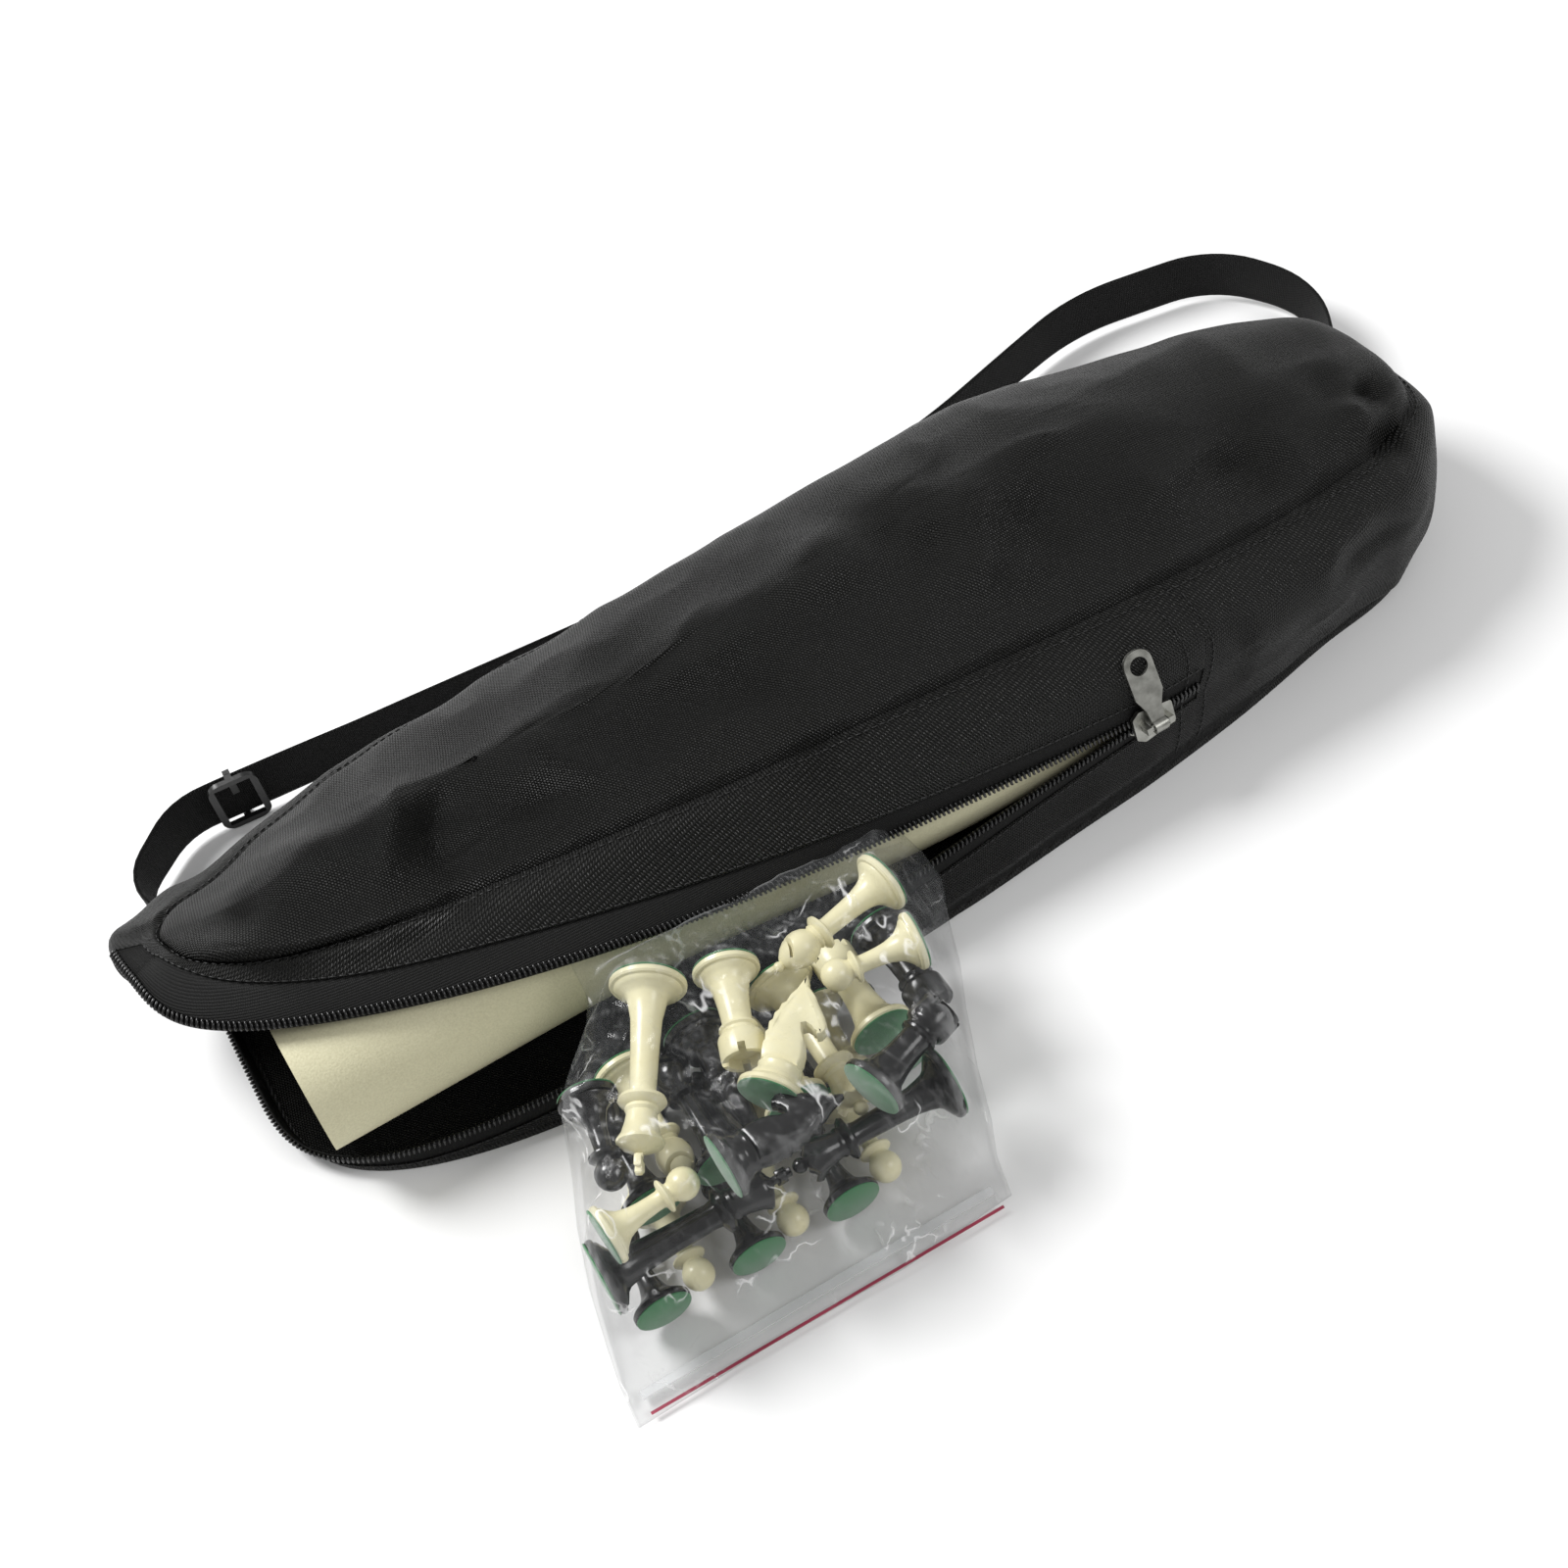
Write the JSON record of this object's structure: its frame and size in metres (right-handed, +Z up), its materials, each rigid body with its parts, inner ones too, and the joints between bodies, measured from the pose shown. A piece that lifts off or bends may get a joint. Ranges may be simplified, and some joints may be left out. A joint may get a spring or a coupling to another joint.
{
  "type": "travel chess set",
  "caption": "Soft zipped nylon pouch on its side, mouth open, with a rolled board inside, a clear press-seal bag of chess men half out and a webbing shoulder strap.",
  "frame": {"origin": "centre of the pouch's flat underside, which rests on the table", "axes": "+X along the pouch, towards the closed end of the zip; -Y towards the side with the zip; +Z up"},
  "size_m": [0.5151, 0.3068, 0.088],
  "materials": {
    "nylon": "black ribbed oxford nylon",
    "zip_tape": "black woven zip tape",
    "zip_coil": "black polyester coil",
    "webbing": "black woven webbing",
    "zip_metal": "dull nickel",
    "board_vinyl": "cream back of a soft vinyl board",
    "clear_film": "clear thin film",
    "seal_red": "thin coloured line",
    "adjuster_plastic": "black moulded plastic",
    "felt": "green felt",
    "ivory_plastic": "ivory moulded plastic",
    "black_plastic": "black moulded plastic"
  },
  "bodies": {
    "pouch": {"top_panel": "nylon", "bottom_panel": "nylon", "gusset_back": "nylon", "gusset_front": "nylon", "zip_band_upper": "nylon", "zip_band_lower": "nylon", "zip_tape_upper": "zip_tape", "zip_tape_lower": "zip_tape", "zip_coil_upper": "zip_coil", "zip_coil_lower": "zip_coil", "strap_tab_left": "webbing", "strap_tab_right": "webbing"},
    "zip_slider": {"zip_slider_body": "zip_metal"},
    "zip_pull": {"zip_pull_tab": "zip_metal"},
    "board": {"board_roll": "board_vinyl"},
    "men_bag": {"men_bag_film": "clear_film", "bag_seal_ribs": "clear_film", "bag_seal_line": "seal_red", "white_pawns": "ivory_plastic", "black_pawns": "black_plastic", "white_rooks": "ivory_plastic", "black_rooks": "black_plastic", "white_knights": "ivory_plastic", "black_knights": "black_plastic", "white_bishops": "ivory_plastic", "black_bishops": "black_plastic", "white_queen": "ivory_plastic", "black_queen": "black_plastic", "white_king": "ivory_plastic", "black_king": "black_plastic", "white_felts": "felt", "black_felts": "felt"},
    "strap": {"strap_webbing": "webbing"},
    "adjuster": {"strap_adjuster": "adjuster_plastic"}
  },
  "joints": [
    {"name": "zip_slide", "type": "slide", "parent": "pouch", "child": "zip_slider", "axis": [-0.9998, -0.0197, 0], "range_m": [0, 0.075], "deforming": ["zip_coil_upper", "zip_coil_lower", "zip_tape_upper", "zip_tape_lower"]},
    {"name": "pull_swing", "type": "hinge", "parent": "zip_slider", "child": "zip_pull", "pos_m": [0.09411, -0.06521, 0.03722], "axis": [0.9998, 0.0197, 0], "range_deg": [0, 180]},
    {"name": "board_slide", "type": "slide", "parent": "pouch", "child": "board", "axis": [-0.9996, -0.0232, 0.0146], "range_m": [0, 0.44]},
    {"name": "men_bag_slide", "type": "slide", "parent": "pouch", "child": "men_bag", "axis": [0, -1, 0], "range_m": [0, 0.14]},
    {"name": "strap_swing", "type": "hinge", "parent": "pouch", "child": "strap", "pos_m": [-0.232, 0.07, 0.023], "axis": [0.9995, -0.0326, 0], "range_deg": [0, 40]},
    {"name": "adjuster_slide", "type": "slide", "parent": "strap", "child": "adjuster", "axis": [0.9976, -0.0693, 0], "range_m": [0, 0.03]}
  ]
}
